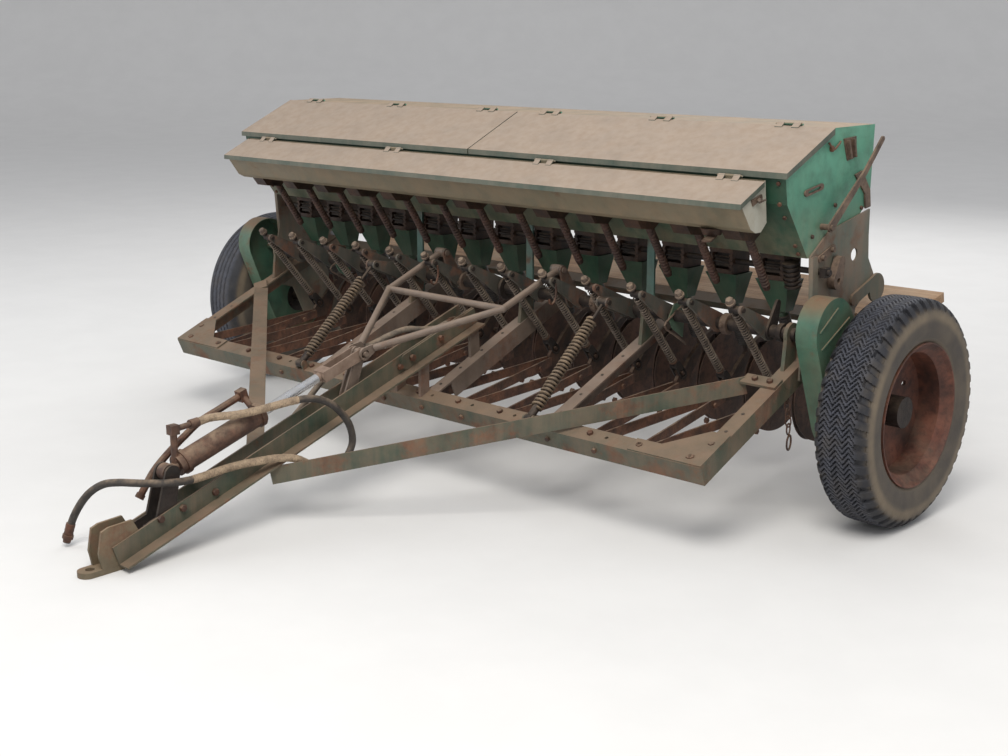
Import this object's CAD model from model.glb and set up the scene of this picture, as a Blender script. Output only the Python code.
"""Seed drill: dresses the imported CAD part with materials, tread, wound springs, bolts and hoses."""
import math

import bpy
from mathutils import Matrix, Vector


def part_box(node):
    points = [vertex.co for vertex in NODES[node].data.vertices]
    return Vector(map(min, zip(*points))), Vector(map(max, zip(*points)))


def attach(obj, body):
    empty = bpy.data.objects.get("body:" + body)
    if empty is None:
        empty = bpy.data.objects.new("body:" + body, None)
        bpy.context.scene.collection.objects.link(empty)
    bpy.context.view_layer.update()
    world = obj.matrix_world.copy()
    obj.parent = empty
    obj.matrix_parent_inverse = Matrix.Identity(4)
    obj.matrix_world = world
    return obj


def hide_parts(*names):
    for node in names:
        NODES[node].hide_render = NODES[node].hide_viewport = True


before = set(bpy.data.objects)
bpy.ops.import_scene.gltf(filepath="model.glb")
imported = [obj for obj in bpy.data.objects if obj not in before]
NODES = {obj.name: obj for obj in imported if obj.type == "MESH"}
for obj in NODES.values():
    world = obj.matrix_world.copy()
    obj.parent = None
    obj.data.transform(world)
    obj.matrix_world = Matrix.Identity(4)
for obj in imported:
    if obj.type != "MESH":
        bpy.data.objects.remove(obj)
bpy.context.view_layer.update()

bl_info = {
    "name": "Seed drill",
    "version": (1, 0, 0),
    "blender": (4, 5, 0),
    "location": "3D View > Sidebar > Seed drill",
    "description": "Builds the looks of a weathered grain seed drill around its CAD frame",
    "category": "Object",
}

# The machine's own points are [y from the axle, z from the ground], in metres
AXLE_Y = 0.6406
AXLE_Z = 0.336
# Openers side by side, and the x of each row
PITCH = 0.1778
OPENERS = 13
ROWS = [(i - (OPENERS - 1) / 2) * PITCH for i in range(OPENERS)]
# Sloping frame: its tilt and the front bar's top corner
FRAME_TILT = math.radians(22.7)
BAR_CORNER = (-0.675, 0.274)
TONGUE_X = 0.0579
# Rockshaft, the tip of its arms, the outer end of their pins, and the eye low on a press rod
ROCK = (-0.195, 0.560)
ARM_TIP = (-0.338, 0.640)
PIN_END = 0.0346
EYE = (-0.100, 0.355)
# Assist rods, and the axis of the cylinder's rod with the front of its clevis along that axis
ASSIST_TIP = (-0.330, 0.599)
ASSIST_X = (-0.475, 0.586)
ROD_AXIS = (0.9549, 0.2971)
CLEVIS_FRONT = -0.8748
# Springs: start and end along their rod, outer radius, points in a turn, sides of the wire
PRESS_COIL = (0.013, 0.312, 0.0134, 12, 5)
ASSIST_COIL = (0.034, 0.386, 0.0199, 16, 7)
PRESS_HEAD = 0.030
# Tyre section: middle of the wheel, then pairs of distance from the middle and radius
WHEEL_X = 1.410
TYRE_WALL = ((0.062, 0.2052), (0.070, 0.2115), (0.0765, 0.2225), (0.0815, 0.242), (0.0845, 0.264),
             (0.0845, 0.283), (0.083, 0.300))
TYRE_LINER = ((-0.060, 0.214), (-0.072, 0.245), (-0.072, 0.300), (-0.045, 0.318), (0.045, 0.318),
              (0.072, 0.300), (0.072, 0.245), (0.060, 0.214))
# Crown of the tyre: radius, half width and drop of its flat part, then width and drop of the shoulder
CROWN = 0.336
CROWN_HALF, CROWN_DROP = 0.050, 0.0015
SHOULDER_WIDTH, SHOULDER_DROP = 0.0315, 0.026
TREAD_EDGE, TREAD_STEPS = 0.0815, 58
# Bars of the right tyre: half width of their band, a zig's width, its height in bars, share of groove
BARS_HALF, ZIG_WIDTH, ZIG_BARS, BAR_GROOVE = 0.056, 0.040, 1.5, 0.30
# Its shoulder lugs: pitch, share of notch, shift of one side, slant, then where the notch gets shallower
LUG_PITCH, LUG_NOTCH, LUG_SHIFT, LUG_SLANT = 0.046, 0.45, 0.35, 9
NOTCH_EDGE, NOTCH_INNER, NOTCH_OUTER = 0.078, 1.6, 0.9
# Tread of the left tyre: middles of the grooves, half their width, their depth and waves
RIB_GROOVES, RIB_HALF, RIB_DEPTH = (-0.036, -0.012, 0.012, 0.036), 0.0028, 0.8
WAVE_DEPTH, WAVES = 0.0018, 96
RIGHT = Vector((1, 0, 0))


def at(x, yz):
    """Machine point to the row frame."""
    return Vector((x, yz[0] + AXLE_Y, yz[1]))


def on_frame(u, n):
    """Point [y, z] of the sloping frame: u up the slope, n normal to it."""
    c, s = math.cos(FRAME_TILT), math.sin(FRAME_TILT)
    return (BAR_CORNER[0] + u * c - n * s, BAR_CORNER[1] + u * s + n * c)


def on_slope(x, y, n=0.0):
    """Row point on the frame's sloping top, n above it, from the machine's x and y."""
    u = (y - BAR_CORNER[0]) / math.cos(FRAME_TILT)
    return at(x, on_frame(u, n))


SLOPE_UP = Vector((0, -math.sin(FRAME_TILT), math.cos(FRAME_TILT)))
SLOPE_FRONT = Vector((0, -math.cos(FRAME_TILT), -math.sin(FRAME_TILT)))
CLIP = on_frame(0.012, 0.019)
# Centre lines of the two hoses, the same points as in the CAD source: x, y from the axle, z from the ground
SUPPLY_LINE = (
    (0.0579, -1.4692, 0.35006), (0.0579, -1.42212, 0.35337), (0.0838, -1.3605, 0.3531),
    (0.1043, -1.3078, 0.3575), (0.1230, -1.2548, 0.3651), (0.1395, -1.2010, 0.3722),
    (0.1544, -1.1464, 0.3724), (0.1682, -1.0947, 0.3549), (0.1786, -1.0533, 0.3180),
    (0.1846, -1.0235, 0.2703), (0.1869, -1.0179, 0.2151), (0.1838, -1.0501, 0.1699),
    (0.1743, -1.1029, 0.1554), (0.1613, -1.1543, 0.1743), (0.1479, -1.2023, 0.2013),
    (0.1357, -1.2564, 0.2121), (0.1233, -1.3117, 0.2138), (0.1104, -1.3669, 0.2128),
    (0.1015, -1.4228, 0.2094), (0.1019, -1.4793, 0.2059), (0.1065, -1.5359, 0.2064),
    (0.1047, -1.5922, 0.2112), (0.0792, -1.6414, 0.2148), (0.0295, -1.6678, 0.2113),
    (-0.0244, -1.6842, 0.2048), (-0.0773, -1.6992, 0.1914), (-0.1218, -1.7169, 0.1617),
    (-0.1523, -1.7362, 0.1182), (-0.1717, -1.7530, 0.0677), (-0.1830, -1.7650, 0.0135))
GREY_LINE = (
    (0.0095, -1.508, 0.119), (0.0095, -1.465, 0.133), (0.0110, -1.400, 0.1535),
    (0.0125, -1.330, 0.1765), (0.0129, -1.260, 0.1995), (0.0127, -1.190, 0.226),
    (0.0100, -1.125, 0.259), (0.0050, -1.060, 0.301), (0.0, -1.000, 0.345), (-0.004, -0.940, 0.386),
    (-0.007, -0.880, 0.418), (-0.005, -0.820, 0.438), (0.004, -0.760, 0.452), (0.018, -0.700, 0.472),
    (0.034, -0.645, 0.484), (0.050, -0.590, 0.477), (0.0579, -0.535, 0.474), (0.0579, -0.490, 0.483))
SUPPLY_RADIUS = 0.011
GREY_RADIUS = 0.0095
# Stretches of the supply hose that are wrapped in tape, as distances from its elbow
TAPED = ((0.0, 0.30), (0.70, 1.13))

# Stage: the floor's section along the view, its half width, turn and gap under the wheels
FLOOR_SECTION = ((-30.0, 0.0), (14.0, 0.0), (16.0, 0.15), (17.5, 0.8), (18.5, 2.0), (19.0, 4.0),
                 (19.2, 14.0))
FLOOR_HALF = 40
FLOOR_TURN = math.radians(43.1)
FLOOR_GAP = 0.0004
FLOOR_COLOUR = (0.72, 0.71, 0.69, 1.0)
SKY_COLOUR = (0.93, 0.95, 1.0, 1.0)
SKY_STRENGTH = 0.62
# Lights: name, place, size in metres, power in watts, colour
LIGHTS = (
    ("key", (2.6, -3.2, 5.4), 3.2, 330.0, (1.0, 0.975, 0.94)),
    ("fill", (-4.5, -3.5, 3.4), 4.5, 110.0, (0.94, 0.97, 1.0)),
    ("back", (-1.5, 5.5, 4.2), 4.0, 130.0, (1.0, 1.0, 1.0)))
LIGHT_TARGET = Vector((0, 0.1, 0.45))
# Camera as solved from the photograph: sensor and focal length in mm, turn, tilt and roll, place
SENSOR, FOCAL = 36.0, 51.36
CAMERA_TURNS = (math.radians(43.113), math.radians(-13.786), math.radians(0.146))
CAMERA_PLACE = Vector((3.3337, -3.7156 + AXLE_Y, 1.4256))


def srgb(code):
    """Colour written as six hex digits, turned to linear values."""
    out = []
    for i in (0, 2, 4):
        v = int(code[i:i + 2], 16) / 255
        out.append(v / 12.92 if v <= 0.04045 else ((v + 0.055) / 1.055) ** 2.4)
    return (*out, 1.0)


# Settings a user may change

def colour_setting(name, description, code):
    """Setting that holds a colour, with its default as hex digits."""
    return bpy.props.FloatVectorProperty(
        name=name, description=description, subtype="COLOR", size=4, min=0, max=1, default=srgb(code))


def length_setting(name, description, default, low, high):
    """Setting that holds a length in metres."""
    return bpy.props.FloatProperty(
        name=name, description=description, default=default, min=low, max=high, unit="LENGTH")


def turns_setting(name, description, default):
    """Setting that counts the turns of a spring."""
    return bpy.props.IntProperty(name=name, description=description, default=default, min=10, max=50)


class DrillColours(bpy.types.PropertyGroup):
    """Colours of the drill's finishes."""
    green: colour_setting("Frame green", "Old green paint of the frame", "22392e")
    teal: colour_setting("Hopper green", "Paler green paint of the hopper's ends", "4f9278")
    dust: colour_setting("Dust", "Dry soil that lies on upward faces", "94806a")
    rust: colour_setting("Rust", "Rust that shows through worn paint", "553528")
    rubber: colour_setting("Tyre rubber", "Weathered black tyre rubber", "2c2d33")


class DrillSizes(bpy.types.PropertyGroup):
    """Sizes of the drill's modelled details."""
    tread_depth: length_setting("Tread depth", "Depth of the tread grooves", 0.007, 0.002, 0.012)
    tread_pitch: length_setting("Tread pitch", "Distance between zig-zag bars", 0.0165, 0.01, 0.03)
    press_wire: length_setting("Press spring wire", "Radius of the wire", 0.0026, 0.001, 0.004)
    press_turns: turns_setting("Press spring turns", "Turns in each press spring", 30)
    assist_wire: length_setting("Assist spring wire", "Radius of the wire", 0.0042, 0.002, 0.006)
    assist_turns: turns_setting("Assist spring turns", "Turns in each assist spring", 26)


def colours():
    """The colours in the scene's settings."""
    return bpy.context.scene.drill_colours


def sizes():
    """The sizes in the scene's settings."""
    return bpy.context.scene.drill_sizes


# Node helpers

class Graph:
    """Adds nodes to one shader tree. Every input takes a socket, a number, a colour or its hex digits."""

    def __init__(self, tree):
        self.tree = tree

    def feed(self, socket, value):
        """Link a socket, or set a constant."""
        if isinstance(value, bpy.types.NodeSocket):
            self.tree.links.new(value, socket)
        else:
            socket.default_value = srgb(value) if isinstance(value, str) else value

    def node(self, kind, **inputs):
        """New node; its inputs are given by name, with underscores for spaces."""
        made = self.tree.nodes.new("ShaderNode" + kind)
        for name, value in inputs.items():
            self.feed(made.inputs[name.replace("_", " ")], value)
        return made

    def maths(self, operation, a, b=0.0, clamp=False):
        made = self.node("Math")
        made.operation = operation
        made.use_clamp = clamp
        self.feed(made.inputs[0], a)
        self.feed(made.inputs[1], b)
        return made.outputs[0]

    def times(self, a, b, clamp=False):
        return self.maths("MULTIPLY", a, b, clamp)

    def plus(self, a, b, clamp=False):
        return self.maths("ADD", a, b, clamp)

    def minus(self, a, b):
        return self.maths("SUBTRACT", a, b)

    def most(self, a, b, clamp=False):
        return self.maths("MAXIMUM", a, b, clamp)

    def mix(self, factor, a, b):
        """Colour a where the factor is 0 and b where it is 1."""
        made = self.node("Mix")
        made.data_type = "RGBA"
        for index, value in ((0, factor), (6, a), (7, b)):
            self.feed(made.inputs[index], value)
        return made.outputs[2]

    def ramp(self, value, low, high, smooth=False):
        """0 at low and 1 at high."""
        made = self.node("MapRange", Value=value, From_Min=low, From_Max=high)
        made.interpolation_type = "SMOOTHSTEP" if smooth else "LINEAR"
        return made.outputs["Result"]

    def noise(self, place, scale, detail, rough=0.62):
        made = self.node("TexNoise", Vector=place, Scale=scale, Detail=detail, Roughness=rough)
        return made.outputs["Fac"]

    def mask(self, place, scale, detail, low, high, stretch=None):
        """Noise turned to a 0..1 mask between low and high."""
        if stretch is not None:
            place = self.node("Mapping", Vector=place, Scale=stretch).outputs["Vector"]
        return self.ramp(self.noise(place, scale, detail), low, high, smooth=True)

    def place(self):
        """Place on the object, which turns and moves with it."""
        return self.node("TexCoord").outputs["Object"]

    def facing(self):
        """X, Y and Z of the object's own normal, so that dust stays on what moves."""
        return self.split(self.node("TexCoord").outputs["Normal"])

    def split(self, vector):
        return self.node("SeparateXYZ", Vector=vector).outputs

    def surface(self, shader, colour, rough, height, strength, distance):
        """Feed the shader its colour, its roughness and a bump from a height."""
        bump = self.node("Bump", Strength=strength, Distance=distance, Height=height)
        self.feed(shader["Base Color"], colour)
        self.feed(shader["Roughness"], rough)
        self.feed(shader["Normal"], bump.outputs["Normal"])


def lay_out(tree):
    """Place each node to the left of the nodes that it feeds."""
    depth = {node.name: 0 for node in tree.nodes}
    pairs = [(link.from_node.name, link.to_node.name) for link in tree.links]
    while any(depth[a] <= depth[b] for a, b in pairs):
        for a, b in pairs:
            depth[a] = max(depth[a], depth[b] + 1)
    rows = {}
    for node in tree.nodes:
        column = depth[node.name]
        rows[column] = rows.get(column, 0) + 1
        node.location = (-220 * column, -200 * rows[column])


def new_group(name, inputs):
    """Group from named inputs to a colour, a roughness and a height; its graph and end sockets."""
    tree = bpy.data.node_groups.new(name, "ShaderNodeTree")
    for label, value in inputs.items():
        coloured = isinstance(value, str)
        kind = "NodeSocketColor" if coloured else "NodeSocketFloat"
        socket = tree.interface.new_socket(name=label, in_out="INPUT", socket_type=kind)
        socket.default_value = srgb(value) if coloured else value
    for label, kind in (("Color", "NodeSocketColor"), ("Roughness", "NodeSocketFloat"),
                        ("Height", "NodeSocketFloat")):
        tree.interface.new_socket(name=label, in_out="OUTPUT", socket_type=kind)
    return Graph(tree), tree.nodes.new("NodeGroupInput").outputs, tree.nodes.new("NodeGroupOutput").inputs


def weather_group():
    """Paint that has faded, rusted in patches and gathered dust on its upward faces."""
    g, given, out = new_group("Weathered paint", {
        "Paint": "24483a", "Faded": "5f8674", "Rust": "5d3826", "Dust": "a48b70", "Rust amount": 0.4,
        "Dust amount": 0.8, "Side dust": 0.2})
    place = g.place()
    faded = g.mask(place, 5.0, 6, 0.35, 0.7)
    base = g.mix(g.times(faded, 0.45), given["Paint"], given["Faded"])
    dark = g.mask(place, 22.0, 5, 0.4, 0.75)
    base = g.mix(g.times(dark, 0.32), base, "15201a")
    # Rust in patches, more along the edges
    worn = g.ramp(g.node("NewGeometry").outputs["Pointiness"], 0.50, 0.62)
    level = g.plus(g.noise(place, 8.0, 9, rough=0.68), g.times(worn, 0.10))
    low = g.minus(0.78, g.times(given["Rust amount"], 0.42))
    cut = g.ramp(level, low, g.plus(low, 0.15), smooth=True)
    rusty = g.mix(g.times(g.mask(place, 60.0, 6, 0.3, 0.7), 0.6), given["Rust"], "7c4e34")
    rusty = g.mix(g.times(dark, 0.6), rusty, "2a1912")
    base = g.mix(cut, base, rusty)
    # Dust on what faces up while the drill is at rest, with a thin film everywhere
    up = g.ramp(g.facing()["Z"], 0.25, 0.8)
    film = g.mask(place, 9.0, 8, 0.2, 0.68)
    streak = g.mask(place, 30.0, 6, 0.3, 0.7, stretch=(1.0, 1.0, 0.08))
    lying = g.times(g.times(up, given["Dust amount"]), g.plus(g.times(film, 0.45), 0.55))
    thin = g.times(g.plus(g.times(film, 0.6), g.times(streak, 0.4)), given["Side dust"])
    amount = g.most(lying, thin, clamp=True)
    mottle = g.times(g.mask(place, 35.0, 5, 0.3, 0.75), 0.35)
    g.feed(out["Color"], g.mix(amount, base, g.mix(mottle, given["Dust"], "7d654c")))
    rough = g.plus(0.48, g.times(cut, 0.34))
    g.feed(out["Roughness"], g.plus(rough, g.times(amount, 0.3), clamp=True))
    fine = g.mask(place, 260.0, 4, 0.2, 0.8)
    g.feed(out["Height"], g.plus(g.times(cut, -0.5), g.times(fine, 0.35)))
    return g.tree


def rust_group():
    """Bare steel that has rusted all over, with dry soil on top."""
    g, given, out = new_group("Rusted steel", {
        "Dark": "2e1e17", "Light": "7b4d33", "Dust": "a48b70", "Dust amount": 0.5, "Scale": 1.0})
    # The node has its Scale input only once its operation is set
    sized = g.node("VectorMath")
    sized.operation = "SCALE"
    g.feed(sized.inputs["Vector"], g.place())
    g.feed(sized.inputs["Scale"], given["Scale"])
    place = sized.outputs[0]
    big = g.mask(place, 16.0, 8, 0.3, 0.72)
    speck = g.mask(place, 90.0, 6, 0.42, 0.7)
    base = g.mix(big, given["Dark"], given["Light"])
    base = g.mix(g.times(speck, 0.5), base, "20130e")
    up = g.ramp(g.facing()["Z"], -0.1, 0.9)
    film = g.mask(place, 26.0, 7, 0.3, 0.7)
    amount = g.times(g.times(up, film), given["Dust amount"], clamp=True)
    g.feed(out["Color"], g.mix(amount, base, given["Dust"]))
    g.feed(out["Roughness"], g.plus(0.62, g.times(amount, 0.3), clamp=True))
    g.feed(out["Height"], g.plus(g.times(big, 0.4), g.times(speck, 0.5)))
    return g.tree


# Materials by name, filled by make_materials
MATERIALS = {}


def new_material(name):
    """New material with nodes; its graph and its shader's inputs."""
    mat = bpy.data.materials.new(name)
    mat.use_nodes = True
    MATERIALS[name] = mat
    return Graph(mat.node_tree), mat.node_tree.nodes["Principled BSDF"].inputs


def grouped(name, group, values, metallic):
    """Finish whose looks come from a shared group; its graph and the group's inputs."""
    g, shader = new_material(name)
    shader["Metallic"].default_value = metallic
    node = g.node("Group")
    node.node_tree = bpy.data.node_groups[group]
    for label, value in values.items():
        g.feed(node.inputs[label], value)
    g.surface(shader, *(node.outputs[label] for label in ("Color", "Roughness", "Height")), 0.7, 0.0012)
    return g, node.inputs


def painted(name, paint, faded, soil, rust, dust, side):
    """Weathered paint; without a colour of its own it takes the settings' green or dust."""
    c = colours()
    return grouped(name, "Weathered paint", {
        "Paint": paint or tuple(c.green), "Faded": faded, "Rust": tuple(c.rust),
        "Dust": soil or tuple(c.dust), "Rust amount": rust, "Dust amount": dust, "Side dust": side}, 0.0)


def rusted(name, dark, light, dust, scale, metallic):
    """Rusted steel, and the rubber and cloth that have gathered the same soil."""
    return grouped(name, "Rusted steel", {
        "Dark": dark, "Light": light, "Dust": tuple(colours().dust), "Dust amount": dust,
        "Scale": scale}, metallic)


def hopper_finish():
    """Dark green in front, clean pale green on the ends, bare dust on the top."""
    front, front_faded = "17402f", "225541"
    g, given = painted("hopper_paint", front, front_faded, "a08a72", 0.3, 0.95, 0.3)
    side = g.maths("ABSOLUTE", g.facing()["X"])
    height = g.split(g.place())["Z"]
    low, deep = g.ramp(height, 0.93, 0.80), g.ramp(height, 1.06, 0.84)
    shaded = g.times(deep, 0.7)
    g.feed(given["Paint"], g.mix(side, front, g.mix(shaded, tuple(colours().teal), "2a5f4a")))
    g.feed(given["Faded"], g.mix(side, front_faded, g.mix(shaded, "6ca58b", "44775f")))
    # The ends keep most of their paint, and only their lower edge is dirty
    g.feed(given["Rust amount"], g.times(g.minus(1.0, g.times(side, 0.85)), 0.32))
    g.feed(given["Side dust"], g.times(g.plus(low, 0.18), 0.42))


def box_finish():
    """Seed box: olive dust in front, pale grey on the two end caps."""
    front = {"Paint": "666350", "Faded": "776c58", "Dust": "86745c"}
    ends = {"Paint": "a9a89c", "Faded": "b9b6a8", "Dust": "9c9482"}
    g, given = painted("box_paint", *front.values(), 0.22, 0.95, 0.75)
    cap = g.maths("GREATER_THAN", g.maths("ABSOLUTE", g.facing()["X"]), 0.8)
    for label, colour in front.items():
        g.feed(given[label], g.mix(cap, colour, ends[label]))


def lid_finish():
    """Lids: dust hides the top, and the turned-down edges keep their dark paint."""
    top, top_faded = "8a7d70", "958778"
    g, given = painted("dusty_lid", top, top_faded, "9c8c7c", 0.0, 1.0, 0.8)
    up = g.ramp(g.facing()["Z"], 0.25, 0.5)
    g.feed(given["Paint"], g.mix(up, "33463c", top))
    g.feed(given["Faded"], g.mix(up, "4b5549", top_faded))
    g.feed(given["Side dust"], g.plus(g.times(up, 0.5), 0.3))


def tyre_finish():
    """Black rubber that fades to dusty tan on the sidewall, by distance from the axle."""
    g, shader = new_material("tyre_rubber")
    place = g.place()
    parts = g.split(place)
    y, z = g.minus(parts["Y"], AXLE_Y), g.minus(parts["Z"], AXLE_Z)
    r = g.maths("SQRT", g.plus(g.times(y, y), g.times(z, z)))
    patch = g.mask(place, 10.0, 7, 0.25, 0.75)
    soil = g.times(g.ramp(r, 0.312, 0.285, smooth=True), g.plus(0.34, g.times(patch, 0.42)))
    # Paler rings on the sidewall's bulge and beside the rim
    band = g.ramp(g.maths("ABSOLUTE", g.minus(r, 0.291)), 0.026, 0.004, smooth=True)
    bead = g.ramp(r, 0.226, 0.210)
    rings = g.times(g.most(g.times(band, 0.55), g.times(bead, 0.5)), g.plus(0.5, g.times(patch, 0.5)))
    crown = g.mask(place, 18.0, 6, 0.45, 0.75)
    soil = g.most(soil, g.times(crown, 0.22), clamp=True)
    grooves = g.ramp(r, 0.3355, 0.329)
    base = g.mix(g.mask(place, 45.0, 5, 0.3, 0.7), tuple(colours().rubber), "3b3d46")
    base = g.mix(g.times(grooves, 0.75), base, "141417")
    base = g.mix(rings, g.mix(soil, base, "675d50"), "8d7d66")
    rough = g.plus(0.66, g.times(soil, 0.25), clamp=True)
    g.surface(shader, base, rough, g.mask(place, 320.0, 4, 0.2, 0.8), 0.5, 0.0006)


def wood_finish():
    """Weathered plank with its grain along X."""
    g, shader = new_material("board_wood")
    place = g.place()
    grain = g.mask(place, 18.0, 8, 0.3, 0.7, stretch=(0.05, 6.0, 3.0))
    fine = g.mask(place, 40.0, 6, 0.35, 0.65, stretch=(0.08, 9.0, 6.0))
    base = g.mix(g.times(fine, 0.5), g.mix(grain, "b9926c", "8d6b4d"), "5c4432")
    base = g.mix(g.times(g.mask(place, 4.0, 5, 0.4, 0.7), 0.5), base, "b9a58c")
    g.surface(shader, base, g.plus(0.72, g.times(fine, 0.15)), g.minus(grain, fine), 0.6, 0.002)


def plated_finish():
    """Bright plated rod with a film of dust and small rust specks, and a dusty steel clevis behind it."""
    g, shader = new_material("plated_rod")
    place = g.place()
    parts = g.split(place)
    along = g.times(g.minus(parts["Y"], AXLE_Y), ROD_AXIS[0])
    clevis = g.maths("GREATER_THAN", g.plus(along, g.times(parts["Z"], ROD_AXIS[1])), CLEVIS_FRONT)
    speck = g.mask(place, 70.0, 6, 0.6, 0.72)
    film = g.mask(place, 12.0, 5, 0.35, 0.75)
    base = g.mix(g.times(speck, 0.6), g.mix(film, "cfd0d2", "a9a39a"), "6d4a34")
    g.feed(shader["Base Color"], g.mix(clevis, base, g.mix(film, "8a7667", "6b5546")))
    rough = g.plus(0.22, g.times(film, 0.3))
    g.feed(shader["Roughness"], g.plus(rough, g.times(clevis, 0.45), clamp=True))
    g.feed(shader["Metallic"], g.minus(0.85, g.times(clevis, 0.75)))


# Painted finishes: paint, faded paint, dust, then the amounts of rust, dust on top and dust on the sides
PAINTS = {
    "frame_green": (None, "33503f", "7a6654", 0.5, 0.95, 0.66),
    "guard_green": ("2d5a48", "4f7c66", "7b5c45", 0.3, 0.85, 0.3),
    "deep_green": ("0a3a28", "15523a", None, 0.2, 0.5, 0.16),
    "teal_steel": ("335d56", "577f76", None, 0.35, 0.7, 0.25),
    "arm_green": ("2b3431", "3f4843", "74665a", 0.5, 0.85, 0.5),
    "plate_brown": ("46584c", "5e6655", "7d6b5d", 0.42, 0.9, 0.95),
    "bar_tan": ("594b41", "6a5b4f", "87776a", 0.5, 0.9, 0.55),
    "nose_olive": ("4f4a37", "645b46", "86735c", 0.6, 0.9, 0.55),
}
# Rusted and soiled finishes: dark, light, amount of dust, scale of the patches, metallic
RUSTS = {
    "rust_steel": ("33211a", "6b4531", 0.6, 1.0, 0.15),
    "strap_brown": ("4a3a31", "75604f", 0.6, 1.0, 0.05),
    "barrel_brown": ("3d281e", "6a4a38", 0.75, 1.0, 0.05),
    "cast_brown": ("241813", "4d3425", 0.45, 1.0, 0.15),
    "dark_steel": ("171514", "342a25", 0.4, 1.0, 0.3),
    "disc_steel": ("35241c", "604234", 0.5, 0.8, 0.2),
    "spring_dark": ("3a322d", "7d6f62", 0.8, 1.6, 0.1),
    "spring_tan": ("4d4033", "7d6a54", 0.85, 1.2, 0.1),
    "head_light": ("4a3d35", "7f6f60", 0.75, 1.5, 0.1),
    "rim_rust": ("38211a", "744534", 0.3, 0.6, 0.15),
    "ribbed_rubber": ("301e19", "583a2e", 0.5, 1.3, 0.0),
    "black_rubber": ("161414", "2c2724", 0.35, 1.5, 0.0),
    "hose_rubber": ("211e1b", "3d3833", 0.7, 1.5, 0.0),
    "hose_grey": ("544c43", "776c5f", 0.75, 1.2, 0.0),
    "hose_tape": ("7d6a55", "b09a7e", 0.6, 2.5, 0.0),
}


def make_materials():
    """Build both groups and every finish of the drill."""
    groups = weather_group(), rust_group()
    for make, table in ((painted, PAINTS), (rusted, RUSTS)):
        for name, values in table.items():
            make(name, *values)
    for make in (hopper_finish, box_finish, lid_finish, tyre_finish, wood_finish, plated_finish):
        make()
    for tree in (*groups, *(mat.node_tree for mat in MATERIALS.values())):
        lay_out(tree)


# Nodes of the CAD frame that wear each finish
NODE_FINISH = {
    "frame_green": "front_bar side_rails rear_bar tongue braces shaft_bearings board_brackets",
    "guard_green": "drive_guards",
    "arm_green": "lift_arms",
    "bar_tan": "inner_rails tongue_stand yoke rocker",
    "strap_brown": "feed_lever panel_irons",
    "nose_olive": "hitch",
    "rust_steel": "opener_lugs drawbars hose_unions cylinder_lines",
    "barrel_brown": "barrel",
    "dark_steel": ("rockshaft press_rods cylinder_mount spindles feed_shaft hub_left hub_right "
                   "assist_rods assist_tubes"),
    "plate_brown": "end_plates",
    "teal_steel": "uprights",
    "hopper_paint": "hopper",
    "box_paint": "small_box",
    "dusty_lid": "lid_left lid_right small_lid",
    "cast_brown": "small_cups feed_cups boots seed_shutoff",
    "ribbed_rubber": "grass_tubes",
    "deep_green": "seed_funnels",
    "black_rubber": "seed_tubes",
    "hose_rubber": "supply_hose",
    "hose_grey": "grey_hose",
    "board_wood": "foot_board",
    "rim_rust": "rim_left rim_right",
    "tyre_rubber": "tyre_left tyre_right",
    "disc_steel": "discs",
    "plated_rod": "cylinder_rod",
    "spring_dark": "press_springs",
    "spring_tan": "assist_springs",
}


def give(obj, material):
    """Dress an object in one finish."""
    obj.data.materials.clear()
    obj.data.materials.append(MATERIALS[material])


# Mesh helpers

def piece(name, verts, faces, body, material, slot, smooth=True):
    """New mesh piece in the row frame that rides on a body."""
    mesh = bpy.data.meshes.new(name)
    mesh.from_pydata([tuple(v) for v in verts], [], faces)
    mesh.validate()
    if smooth:
        mesh.polygons.foreach_set("use_smooth", [True] * len(mesh.polygons))
        mesh.set_sharp_from_angle(angle=math.radians(38))
    obj = bpy.data.objects.new(name, mesh)
    bpy.context.scene.collection.objects.link(obj)
    give(obj, material)
    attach(obj, body)
    return obj


def skin(rings, sides, around=False):
    """Faces between rings of vertices; around joins the last ring to the first."""
    faces = []
    for i in range(rings if around else rings - 1):
        a, b = i * sides, (i + 1) % rings * sides
        for k in range(sides):
            k2 = (k + 1) % sides
            faces.append((a + k, a + k2, b + k2, b + k))
    return faces


def capped(rings, sides):
    """Faces of a tube, with both ends closed."""
    ends = [tuple(reversed(range(sides))), tuple(range((rings - 1) * sides, rings * sides))]
    return skin(rings, sides) + ends


def circle(centre, axis, radius, count):
    """Points on a circle about an axis."""
    axis = axis.normalized()
    u = axis.orthogonal().normalized()
    v = axis.cross(u)
    turns = (2 * math.pi * k / count for k in range(count))
    return [centre + (u * math.cos(a) + v * math.sin(a)) * radius for a in turns]


def tube_mesh(points, radius, sides=8):
    """Vertices and faces of a round tube along points; radius is a number or one per point."""
    verts = []
    n = len(points)
    radii = radius if isinstance(radius, list) else [radius] * n
    normal = None
    for i, p in enumerate(points):
        t = (points[min(i + 1, n - 1)] - points[max(i - 1, 0)]).normalized()
        normal = t.orthogonal() if normal is None else normal - t * normal.dot(t)
        normal.normalize()
        side = t.cross(normal)
        for k in range(sides):
            ang = 2 * math.pi * k / sides
            verts.append(p + (normal * math.cos(ang) + side * math.sin(ang)) * radii[i])
    return verts, capped(n, sides)


def add_to(all_verts, all_faces, verts, faces):
    """Add one solid to the lists of a piece."""
    base = len(all_verts)
    all_verts.extend(verts)
    all_faces.extend(tuple(i + base for i in f) for f in faces)


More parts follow.
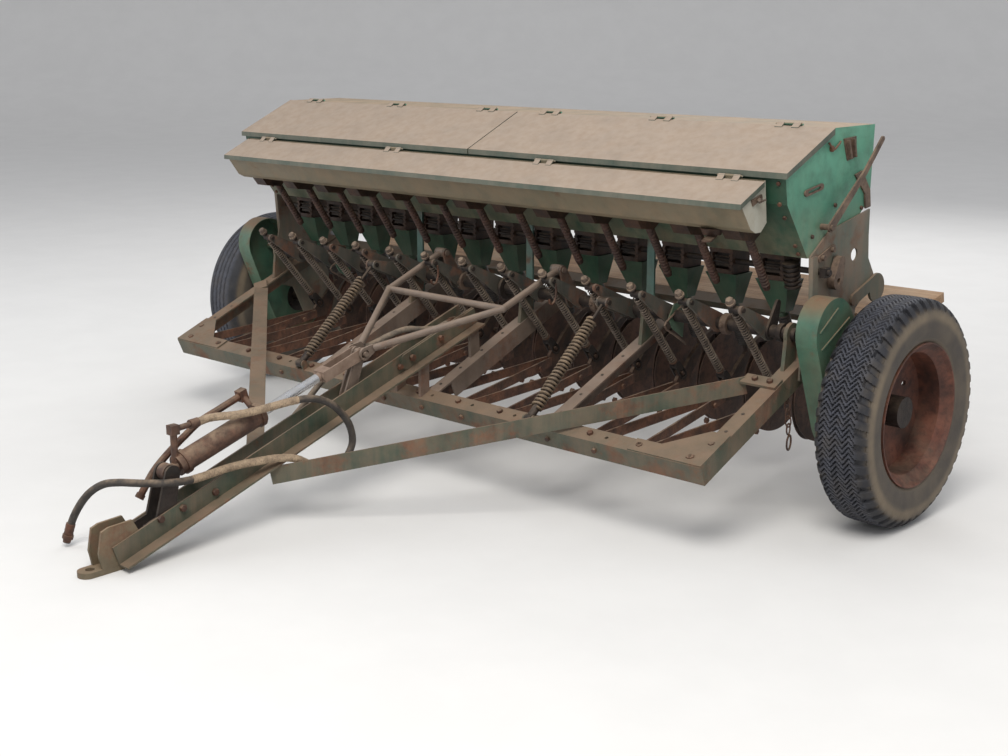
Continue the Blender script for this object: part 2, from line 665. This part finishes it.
def smooth_line(points, steps):
    """Catmull-Rom line through machine points, in the row frame."""
    points = [at(x, (y, z)) for x, y, z in points]
    out = []
    n = len(points)
    for i in range(n - 1):
        b, c = points[i], points[i + 1]
        a = points[i - 1] if i else 2 * b - c
        d = points[i + 2] if i + 2 < n else 2 * c - b
        for j in range(steps):
            t = j / steps
            out.append(0.5 * (2 * b + (c - a) * t + (2 * a - 5 * b + 4 * c - d) * t ** 2
                              + (3 * b - a - 3 * c + d) * t ** 3))
    out.append(points[-1])
    return out


def even_line(points, spacing):
    """The same line with points at an even distance."""
    out, left = [points[0]], spacing
    for a, b in zip(points, points[1:]):
        length = (b - a).length
        s = left
        while s < length:
            out.append(a + (b - a) * (s / length))
            s += spacing
        left = s - length
    if (out[-1] - points[-1]).length < spacing * 0.4:
        out.pop()
    out.append(points[-1])
    return out


def turned(origin, axis, profile, sides=20):
    """Turned solid: profile is a list of (distance along the axis, radius), closed at both ends."""
    axis = axis.normalized()
    verts = [v for d, r in profile for v in circle(origin + axis * d, axis, r, sides)]
    return verts, capped(len(profile), sides)


def hexagon(centre, axis, width, height):
    """Hexagon head or nut that stands on a face, with a chamfered top; centre is on the face."""
    return turned(centre, axis, ((0.0, width / 2), (height * 0.85, width / 2), (height, width * 0.43)), 6)


def slab(outline, x0, x1):
    """Flat plate: outline is a list of machine [y, z], from x0 to x1."""
    n = len(outline)
    verts = [at(x, q) for x in (x0, x1) for q in outline]
    faces = [tuple(range(n)), tuple(reversed(range(n, 2 * n)))]
    for k in range(n):
        k2 = (k + 1) % n
        faces.append((k, n + k, n + k2, k2))
    return verts, faces


def wire(points, radius, sides=8):
    """Bent round wire through machine points (x, y, z)."""
    return tube_mesh([at(x, (y, z)) for x, y, z in points], radius, sides)


def ring(centre, axis, radius, thick, count=20, sides=7):
    """Round ring about an axis, in the row frame."""
    points = circle(centre, axis, radius, count)
    return tube_mesh(points + points[:1], thick, sides)


def coil(a, b, shape, thick, turns):
    """Wound spring between the distances in shape on the line from a to b; thick is the wire's radius."""
    start, end, radius, per_turn, sides = shape
    axis = (b - a).normalized()
    u = axis.orthogonal().normalized()
    v = axis.cross(u)
    length = end - start - 2 * thick
    points = []
    for i in range(turns * per_turn + 1):
        f = i / (turns * per_turn)
        ang = 2 * math.pi * turns * f
        along = start + thick + length * f
        points.append(a + axis * along + (u * math.cos(ang) + v * math.sin(ang)) * (radius - thick))
    return tube_mesh(points, thick, sides)


# Body, finish and slot of each piece that is gathered from many solids
GATHERED = {
    "press_rod_heads": ("press_rods", "head_light", "rust_steel"),
    "press_rod_seats": ("press_rods", "rust_steel", "rust_steel"),
    "bolts_on_frame": ("frame", "rust_steel", "rust_steel"),
    "bolts_on_openers": ("openers", "rust_steel", "rust_steel"),
    "rail_holes": ("frame", "black_rubber", "dark_steel"),
    "latch_plates": ("frame", "strap_brown", "rust_steel"),
    "latch_nuts": ("frame", "head_light", "rust_steel"),
    "lid_catches": ("frame", "rust_steel", "rust_steel"),
    "guard_ribs": ("frame", "guard_green", "green_paint"),
    "shaft_discs": ("rockshaft", "dark_steel", "dark_steel"),
    "shaft_collars": ("rockshaft", "strap_brown", "rust_steel"),
    "trip_plates": ("rockshaft", "guard_green", "green_paint"),
    "trip_wires": ("rockshaft", "strap_brown", "rust_steel"),
    "arm_hooks": ("rockshaft", "rust_steel", "rust_steel"),
    "spare_chain": ("frame", "rust_steel", "rust_steel"),
    "drive_stack": ("frame", "dark_steel", "dark_steel"),
}


class Batch:
    """Gathers solids into pieces by name."""

    def __init__(self):
        self.parts = {}

    def add(self, name, solid):
        """Add one solid to the piece of that name."""
        add_to(*self.parts.setdefault(name, ([], [])), *solid)

    def build(self, smooth=True):
        """Make the pieces, in the order of their first solids."""
        for name, (verts, faces) in self.parts.items():
            piece(name, verts, faces, *GATHERED[name], smooth)


# Pieces

class DRILL_OT_finishes(bpy.types.Operator):
    """Give every CAD node its weathered finish"""
    bl_idname = "drill.finishes"
    bl_label = "Finishes"

    def execute(self, context):
        make_materials()
        for material, names in NODE_FINISH.items():
            for name in names.split():
                give(NODES[name], material)
        left = [n for n in NODES if not any(n in names.split() for names in NODE_FINISH.values())]
        if left:
            raise RuntimeError("no finish for " + ", ".join(left))
        return {"FINISHED"}


def tread_radius(w):
    """Radius of the tyre w from its middle: a nearly flat crown, then round shoulders."""
    out = abs(w)
    if out < CROWN_HALF:
        return CROWN - CROWN_DROP * (out / CROWN_HALF) ** 2
    return CROWN - CROWN_DROP - SHOULDER_DROP * ((out - CROWN_HALF) / SHOULDER_WIDTH) ** 1.7


def bar_cut(ang, w):
    """Right tyre, in tread depths: 0 on a zig-zag bar, 1 in its groove, and notches on the shoulders."""
    out = abs(w)
    turn = ang / (2 * math.pi)
    if out < BARS_HALF:
        bars = round(2 * math.pi * CROWN / sizes().tread_pitch)
        q = (w / ZIG_WIDTH) % 1.0
        zig = (2 * q if q < 0.5 else 2 - 2 * q) * ZIG_BARS
        return 1.0 if (turn * bars + zig) % 1.0 < BAR_GROOVE else 0.0
    lugs = round(2 * math.pi * CROWN / LUG_PITCH)
    phase = (turn * lugs + (LUG_SHIFT if w > 0 else 0.0) + (out - BARS_HALF) * LUG_SLANT) % 1.0
    if phase < LUG_NOTCH:
        return NOTCH_INNER if out < NOTCH_EDGE else NOTCH_OUTER
    return 0.0


def rib_cut(ang, w):
    """Left tyre: ribs round it with wavy grooves between them."""
    wave = WAVE_DEPTH * math.sin(ang * WAVES)
    return RIB_DEPTH if any(abs(w - centre + wave) < RIB_HALF for centre in RIB_GROOVES) else 0.0


def tyre_piece(name, node, body, side, columns, cut):
    """Tyre skin with its tread cut in, inside the CAD tyre's outline."""
    depth = sizes().tread_depth
    tread = [TREAD_EDGE * (1 - 2 * k / TREAD_STEPS) for k in range(TREAD_STEPS + 1)]
    stations = [(w, r, False) for w, r in TYRE_WALL]
    stations += [(w, tread_radius(w), True) for w in tread]
    stations += [(-w, r, False) for w, r in reversed(TYRE_WALL)]
    # The inner liner closes the skin
    stations += [(w, r, False) for w, r in TYRE_LINER]
    verts = []
    for c in range(columns):
        ang = 2 * math.pi * c / columns
        for w, r, cuttable in stations:
            if cuttable:
                r -= cut(ang, w * side) * depth
            verts.append((side * WHEEL_X + w, AXLE_Y + r * math.sin(ang), AXLE_Z + r * math.cos(ang)))
    obj = piece(name, verts, skin(columns, len(stations), around=True), body, "tyre_rubber", "tyre_rubber")
    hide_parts(node)


class DRILL_OT_tyres(bpy.types.Operator):
    """Tyres with their tread"""
    bl_idname = "drill.tyres"
    bl_label = "Tyres"

    def execute(self, context):
        tyre_piece("right_tyre_tread", "tyre_right", "wheel_right", 1, 960, bar_cut)
        tyre_piece("left_tyre_tread", "tyre_left", "wheel_left", -1, 300, rib_cut)
        return {"FINISHED"}


# Hoses: distance between rings, sides, and the tape's thickness, rise in a lap and length of a lap
HOSE_STEP, HOSE_SIDES = 0.004, 14
TAPE_THICK, TAPE_RISE, TAPE_LAP = 0.0004, 0.0007, 0.017


def hose_piece(name, node, line, radius, materials, taped=()):
    """Round hose along a line; taped stretches stand a little proud in short laps."""
    points = even_line(smooth_line(line, 12), HOSE_STEP)
    places = [i * HOSE_STEP for i in range(len(points))]
    wrapped = [any(a <= s <= b for a, b in taped) for s in places]
    radii = [radius + (TAPE_THICK + TAPE_RISE * ((s / TAPE_LAP) % 1.0) if on else 0.0)
             for s, on in zip(places, wrapped)]
    verts, faces = tube_mesh(points, radii, HOSE_SIDES)
    obj = piece(name, verts, faces, "frame", materials[0], "black_rubber")
    if taped:
        obj.data.materials.append(MATERIALS[materials[1]])
        round_faces = (len(points) - 1) * HOSE_SIDES
        index = [int(i < round_faces and wrapped[i // HOSE_SIDES]) for i in range(len(obj.data.polygons))]
        obj.data.polygons.foreach_set("material_index", index)
    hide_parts(node)
    return obj, points


class DRILL_OT_hoses(bpy.types.Operator):
    """Supply hose with its coupler, and the grey hose"""
    bl_idname = "drill.hoses"
    bl_label = "Hoses"

    def execute(self, context):
        supply, line = hose_piece("supply_hose_skin", "supply_hose", SUPPLY_LINE, SUPPLY_RADIUS,
                                  ("hose_rubber", "hose_tape"), TAPED)
        along = (line[-1] - line[-4]).normalized()
        r = SUPPLY_RADIUS
        verts, faces = turned(line[-1], along, [
            (-0.058, r + 0.0004), (-0.057, r + 0.0022), (-0.046, r + 0.0026), (-0.044, r + 0.0016),
            (-0.036, r + 0.0026), (-0.034, r + 0.0016), (-0.026, r + 0.0026), (-0.024, r + 0.0018),
            (-0.023, r + 0.0048), (-0.012, r + 0.0048), (-0.010, r + 0.0010), (0.0, r - 0.0005)])
        coupler = piece("hose_coupler", verts, faces, "frame", "rust_steel", "rust_steel")
        grey, line = hose_piece("grey_hose_skin", "grey_hose", GREY_LINE, GREY_RADIUS, ("hose_grey",))
        return {"FINISHED"}


class DRILL_OT_springs(bpy.types.Operator):
    """Wound press springs and assist springs, with the heads and seats of the press rods"""
    bl_idname = "drill.springs"
    bl_label = "Springs"

    def execute(self, context):
        s = sizes()
        verts, faces = [], []
        heads = Batch()
        for x in ROWS:
            tip, eye = at(x, ARM_TIP), at(x, EYE)
            d = (eye - tip).normalized()
            add_to(verts, faces, *coil(tip, eye, PRESS_COIL, s.press_wire, s.press_turns))
            top = tip - d * PRESS_HEAD
            washer = ((-0.006, 0.0115), (-0.006, 0.0145), (-0.002, 0.0150), (0.0, 0.0145))
            heads.add("press_rod_heads", turned(top, -d, washer, 20))
            heads.add("press_rod_heads", hexagon(top, -d, 0.024, 0.013))
            seat = ((0.0, 0.009), (0.0, 0.0138), (0.004, 0.0138), (0.005, 0.009))
            heads.add("press_rod_seats", turned(tip + d * (PRESS_COIL[1] + 0.001), d, seat, 18))
        obj = piece("wound_press_springs", verts, faces, "press_rods", "spring_dark", "spring_steel")
        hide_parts("press_springs")
        heads.build()
        verts, faces = [], []
        for x in ASSIST_X:
            low, high = at(x, CLIP), at(x, ASSIST_TIP)
            add_to(verts, faces, *coil(low, high, ASSIST_COIL, s.assist_wire, s.assist_turns))
        obj = piece("wound_assist_springs", verts, faces, "assist_tubes", "spring_tan", "rust_steel")
        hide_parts("assist_springs")
        return {"FINISHED"}


# Bolts on the sloping frame: distance up the slope and x; then on the tongue: y, z and width across flats
SIDE_BOLTS = ((0.028, 0.98), (0.028, 1.15), (0.10, 1.175))
TONGUE_BOLTS = ((-0.686, 0.408, 0.024), (-0.740, 0.388, 0.020), (-0.560, 0.452, 0.020))
NOSE_BOLTS = ((-1.633, 0.114), (-1.56, 0.128), (-1.45, 0.148))
# Bolts on the hopper's end panels, and on its front corners with the panel's slope: y and z
END_BOLTS = ((-0.05, 0.921), (-0.167, 0.842), (-0.020, 0.823), (0.10, 0.90))
STEEP, SLANTED = (0, -0.985, -0.175), (0, -0.81, -0.587)
CORNER_BOLTS = ((-0.3125, 1.002, STEEP), (-0.3022, 0.944, STEEP), (-0.2744, 0.905, SLANTED),
                (-0.2128, 0.820, SLANTED), (-0.1947, 0.795, SLANTED))
CORNER_X = 1.182
# Pivot bolts where each drawbar meets its boot, and the punched holes along the rails' tops: x and each y
BOOT_BOLTS = ((-0.232, 0.262), (-0.190, 0.300))
INNER_HOLES = (-0.59, -0.50, -0.40, -0.30, -0.20)
SIDE_HOLES = (-0.52, -0.44, -0.18)
RAIL_HOLES = ((-0.402, INNER_HOLES), (0.130, INNER_HOLES), (0.640, INNER_HOLES), (1.178, SIDE_HOLES),
              (-1.178, SIDE_HOLES))


def frame_bolts(bolts):
    """Heads and nuts on the sloping frame, the tongue and the hopper."""
    def head(centre, axis, width=0.019, height=0.009):
        bolts.add("bolts_on_frame", hexagon(centre, axis, width, height))

    for i in range(OPENERS + 1):
        x = (i - OPENERS / 2) * PITCH
        head(at(x, on_frame(0.030, 0)), SLOPE_UP)
        if abs(x) < 0.93:
            head(at(x + 0.03, on_frame(0.0, -0.03)), SLOPE_FRONT, 0.017, 0.008)
    for side in (-1, 1):
        for u, x in SIDE_BOLTS:
            head(at(side * x, on_frame(u, 0.0)), SLOPE_UP)
    for x in (1.125, 1.175):
        head(at(x, on_frame(0.406, 0.0083)), SLOPE_UP, 0.019, 0.010)
    for y, z, width in TONGUE_BOLTS:
        head(at(TONGUE_X + 0.0425, (y, z)), RIGHT, width, 0.010)
    for yz in NOSE_BOLTS:
        head(at(TONGUE_X + 0.035, yz), RIGHT, 0.022, 0.010)
    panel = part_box("hopper")[1][0]
    for side in (-1, 1):
        for yz in END_BOLTS:
            head(at(side * panel, yz), RIGHT * side, 0.013, 0.006)
        for y, z, normal in CORNER_BOLTS:
            head(at(side * CORNER_X, (y, z)), Vector(normal), 0.013, 0.006)


class DRILL_OT_bolts(bpy.types.Operator):
    """Bolt heads, nuts and punched holes"""
    bl_idname = "drill.bolts"
    bl_label = "Bolts"

    def execute(self, context):
        bolts = Batch()
        frame_bolts(bolts)
        for x in ROWS:
            for side in (-1, 1):
                for yz in BOOT_BOLTS:
                    bolt = hexagon(at(x + side * 0.019, yz), RIGHT * side, 0.020, 0.009)
                    bolts.add("bolts_on_openers", bolt)
        for x, ys in RAIL_HOLES:
            for y in ys:
                hole = turned(on_slope(x, y, 0.0002), SLOPE_UP, ((0.0, 0.0052), (0.0006, 0.0052)), 14)
                bolts.add("rail_holes", hole)
        bolts.build(smooth=False)
        return {"FINISHED"}


def seed_box_latch(trim):
    """Latch plate with a wing nut on each end cap of the seed box."""
    outline = [(-0.401, 0.961), (-0.352, 0.974), (-0.348, 0.963), (-0.393, 0.944)]
    y, z = -0.372, 0.9585
    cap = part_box("small_box")[1][0]
    for side in (-1, 1):
        x = side * cap
        trim.add("latch_plates", slab(outline[::side], x, x + side * 0.004))
        trim.add("latch_nuts", wire([(x + side * d, y, z) for d in (0.002, 0.022)], 0.003))
        trim.add("latch_nuts", turned(at(x + side * 0.005, (y, z)), RIGHT * side,
                                      ((0, 0.006), (0.005, 0.008), (0.012, 0.005)), 14))
        for k in (-1, 1):
            wing = ((0.010, 0, 0), (0.015, 0.009, 0), (0.020, 0.016, 0.002))
            trim.add("latch_nuts", wire([(x + side * a, y + k * b, z + c) for a, b, c in wing], 0.0028))


def lid_hooks(trim):
    """Bent wire catches under the hopper lids' ends."""
    bends = ((0, -0.104, 1.102), (0.004, -0.098, 1.090), (0.004, -0.090, 1.080), (0.004, -0.078, 1.082),
             (0, -0.044, 1.098), (-0.001, -0.040, 1.102))
    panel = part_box("hopper")[1][0]
    for side in (-1, 1):
        x = side * (panel + 0.004)
        trim.add("lid_catches", wire([(x + side * d, y, z) for d, y, z in bends], 0.003))
        trim.add("lid_catches", turned(at(x - side * 0.004, (-0.086, 1.084)), RIGHT * side,
                                       ((0, 0.009), (0.007, 0.009), (0.009, 0.006))))


def guard_ribs(trim):
    """Two pressed ribs across each guard's outer face."""
    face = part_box("drive_guards")[1][0]
    for side in (-1, 1):
        x = side * (face + 0.0005)
        for a, b in (((-0.186, 0.653), (-0.278, 0.594)), ((-0.121, 0.617), (-0.265, 0.544))):
            middle = ((a[0] + b[0]) / 2, (a[1] + b[1]) / 2)
            trim.add("guard_ribs", wire([(x, *yz) for yz in (a, middle, b)], 0.003))


def shaft_rings(trim):
    """Collars with a set screw and washers on the rockshaft."""
    washer = ((0, 0.019), (0, 0.038), (0.003, 0.040), (0.009, 0.040), (0.012, 0.038), (0.012, 0.019))
    collar = ((0, 0.019), (0, 0.030), (0.002, 0.032), (0.020, 0.032), (0.022, 0.030), (0.022, 0.019))
    for x in (0.05, -0.40):
        trim.add("shaft_discs", turned(at(x - 0.006, ROCK), RIGHT, washer, 28))
    for x in (-0.15, 0.45, -0.62, 0.95, -0.97):
        trim.add("shaft_collars", turned(at(x - 0.011, ROCK), RIGHT, collar, 24))
        screw = at(x, (ROCK[0] - 0.031, ROCK[1]))
        trim.add("shaft_collars", hexagon(screw, Vector((0, -1, 0)), 0.012, 0.008))


def trip_wires(trim):
    """Triangular sprung wires around the rockshaft, with their green plates."""
    plate = ((-0.150, 0.600), (-0.205, 0.598), (-0.232, 0.556), (-0.210, 0.520), (-0.158, 0.486))
    bends = ((-0.140, 0.604), (-0.152, 0.598), (-0.205, 0.572), (-0.252, 0.547), (-0.259, 0.538),
             (-0.250, 0.526), (-0.205, 0.500), (-0.156, 0.470), (-0.148, 0.462))
    for x in (0.760, -0.800):
        trim.add("trip_plates", slab(plate, x - 0.0022, x + 0.0022))
        trim.add("trip_wires", wire([(x + 0.006, y, z) for y, z in bends], 0.0032))


def arm_hooks(trim):
    """Wire hooks that hang from two arm tips, on the outer ends of their pins."""
    bends = ((0.006, -0.008), (0.009, -0.030), (0.007, -0.050), (-0.001, -0.066), (-0.012, -0.072),
             (-0.022, -0.066), (-0.024, -0.054))
    y, z = ARM_TIP
    for x in (ROWS[8] + PIN_END, ROWS[5] + PIN_END):
        trim.add("arm_hooks", wire([(x, y + dy, z + dz) for dy, dz in bends], 0.0034))


def spare_chain(trim):
    """Short hanging chain with a ring, below the right side rail."""
    x, y, z = 1.188, -0.232, 0.392
    length, half_width, thick, joints = 0.034, 0.009, 0.0024, 16
    for k in range(5):
        # Every second link is turned a quarter
        flat = RIGHT if k % 2 else Vector((0, 1, 0))
        centre = at(x + (0.001 if k % 2 else 0), (y + 0.004 * k, z - 0.024 * (k + 0.5)))
        points = []
        for j in range(joints + 1):
            a = 2 * math.pi * j / joints
            high, wide = math.cos(a) * length / 2, math.sin(a) * half_width
            points.append(centre + Vector((0, 0, 1)) * high + flat * wide)
        trim.add("spare_chain", tube_mesh(points, thick, 6))
    trim.add("spare_chain", ring(at(x, (y + 0.022, z - 0.150)), Vector((1, 0.3, 0)), 0.022, 0.003))


def drive_stack(trim):
    """Stacked dark drive wheels beside the right end plate."""
    a, b = at(1.130, (-0.150, 0.760)), at(1.130, (-0.125, 0.660))
    wheel, thick = ((0, 0.017), (0.001, 0.025), (0.007, 0.025), (0.008, 0.017)), 0.014
    profile = [(thick * k + d, r) for k in range(6) for d, r in wheel]
    trim.add("drive_stack", turned(a, b - a, profile, 24))


class DRILL_OT_trim(bpy.types.Operator):
    """Latches, catches, ribs, collars, sprung wires, hooks, chain and drive wheels"""
    bl_idname = "drill.trim"
    bl_label = "Trim"

    def execute(self, context):
        trim = Batch()
        for make in (seed_box_latch, lid_hooks, guard_ribs, shaft_rings, trip_wires, arm_hooks, spare_chain,
                     drive_stack):
            make(trim)
        trim.build()
        return {"FINISHED"}


# Stage

def floor_finish():
    """Pale matt floor with faint patches."""
    g, shader = new_material("pale_floor")
    shader["Roughness"].default_value = 0.9
    shade = tuple(v * 0.97 for v in FLOOR_COLOUR[:3]) + (1.0,)
    g.feed(shader["Base Color"], g.mix(g.mask(g.place(), 3.0, 4, 0.3, 0.7), FLOOR_COLOUR, shade))


def add_to_scene(name, data):
    """New object in the scene."""
    obj = bpy.data.objects.new(name, data)
    bpy.context.scene.collection.objects.link(obj)
    return obj


def make_floor():
    """Floor that curves up behind the drill."""
    forward = Vector((-math.sin(FLOOR_TURN), math.cos(FLOOR_TURN), 0))
    right = Vector((math.cos(FLOOR_TURN), math.sin(FLOOR_TURN), 0))
    verts = [forward * d + right * s + Vector((0, 0, z - FLOOR_GAP))
             for s in (-FLOOR_HALF, FLOOR_HALF) for d, z in FLOOR_SECTION]
    n = len(FLOOR_SECTION)
    mesh = bpy.data.meshes.new("floor")
    mesh.from_pydata([tuple(v) for v in verts], [], [(i, n + i, n + i + 1, i + 1) for i in range(n - 1)])
    mesh.polygons.foreach_set("use_smooth", [True] * len(mesh.polygons))
    floor_finish()
    mesh.materials.append(MATERIALS["pale_floor"])
    floor = add_to_scene("floor", mesh)


def make_lights(scene):
    """Soft sky and three area lights that aim at the drill."""
    world = bpy.data.worlds.new("studio")
    scene.world = world
    world.use_nodes = True
    sky = world.node_tree.nodes["Background"]
    sky.inputs["Color"].default_value = SKY_COLOUR
    sky.inputs["Strength"].default_value = SKY_STRENGTH
    for label, spot, size, power, tint in LIGHTS:
        data = bpy.data.lights.new(label, "AREA")
        data.shape = "SQUARE"
        data.size = size
        data.energy = power
        data.color = tint
        lamp = add_to_scene(label, data)
        lamp.location = spot
        lamp.rotation_euler = (LIGHT_TARGET - Vector(spot)).to_track_quat("-Z", "Y").to_euler()


def make_camera(scene):
    """Camera that stands where the photographer stood."""
    data = bpy.data.cameras.new("camera")
    data.sensor_width = SENSOR
    data.lens = FOCAL
    camera = add_to_scene("camera", data)
    turn, tilt, roll = CAMERA_TURNS
    basis = Matrix.Rotation(turn, 3, "Z") @ Matrix.Rotation(tilt, 3, "X") @ Matrix.Rotation(roll, 3, "Y")
    # A camera looks along its own -Z, with +Y up
    right, forward, up = basis.col
    place = Matrix((right, up, -forward)).transposed().to_4x4()
    place.translation = CAMERA_PLACE
    camera.matrix_world = place
    scene.camera = camera


class DRILL_OT_stage(bpy.types.Operator):
    """Pale floor, soft studio light and the camera"""
    bl_idname = "drill.stage"
    bl_label = "Stage"

    def execute(self, context):
        scene = context.scene
        make_floor()
        make_lights(scene)
        make_camera(scene)
        scene.view_settings.view_transform = "Standard"
        return {"FINISHED"}


class DRILL_PT_panel(bpy.types.Panel):
    """Sidebar panel with the drill's settings and pieces"""
    bl_idname = "DRILL_PT_panel"
    bl_label = "Seed drill"
    bl_space_type = "VIEW_3D"
    bl_region_type = "UI"
    bl_category = "Seed drill"

    def draw(self, context):
        for group in (context.scene.drill_colours, context.scene.drill_sizes):
            for name in group.__annotations__:
                self.layout.prop(group, name)
        for step in STEPS:
            self.layout.operator(step.bl_idname)


STEPS = (DRILL_OT_stage, DRILL_OT_finishes, DRILL_OT_hoses, DRILL_OT_tyres, DRILL_OT_springs, DRILL_OT_bolts,
         DRILL_OT_trim)
CLASSES = (DrillColours, DrillSizes) + STEPS + (DRILL_PT_panel,)


def register():
    """Register the classes and hang the settings on the scene."""
    for c in CLASSES:
        bpy.utils.register_class(c)
    bpy.types.Scene.drill_colours = bpy.props.PointerProperty(type=DrillColours)
    bpy.types.Scene.drill_sizes = bpy.props.PointerProperty(type=DrillSizes)


def unregister():
    """Undo register."""
    del bpy.types.Scene.drill_sizes
    del bpy.types.Scene.drill_colours
    for c in reversed(CLASSES):
        bpy.utils.unregister_class(c)


def main():
    """Run every operator in its order."""
    register()
    for step in STEPS:
        group, name = step.bl_idname.split(".")
        getattr(getattr(bpy.ops, group), name)()
    bpy.context.view_layer.update()


if __name__ == "__main__":
    main()
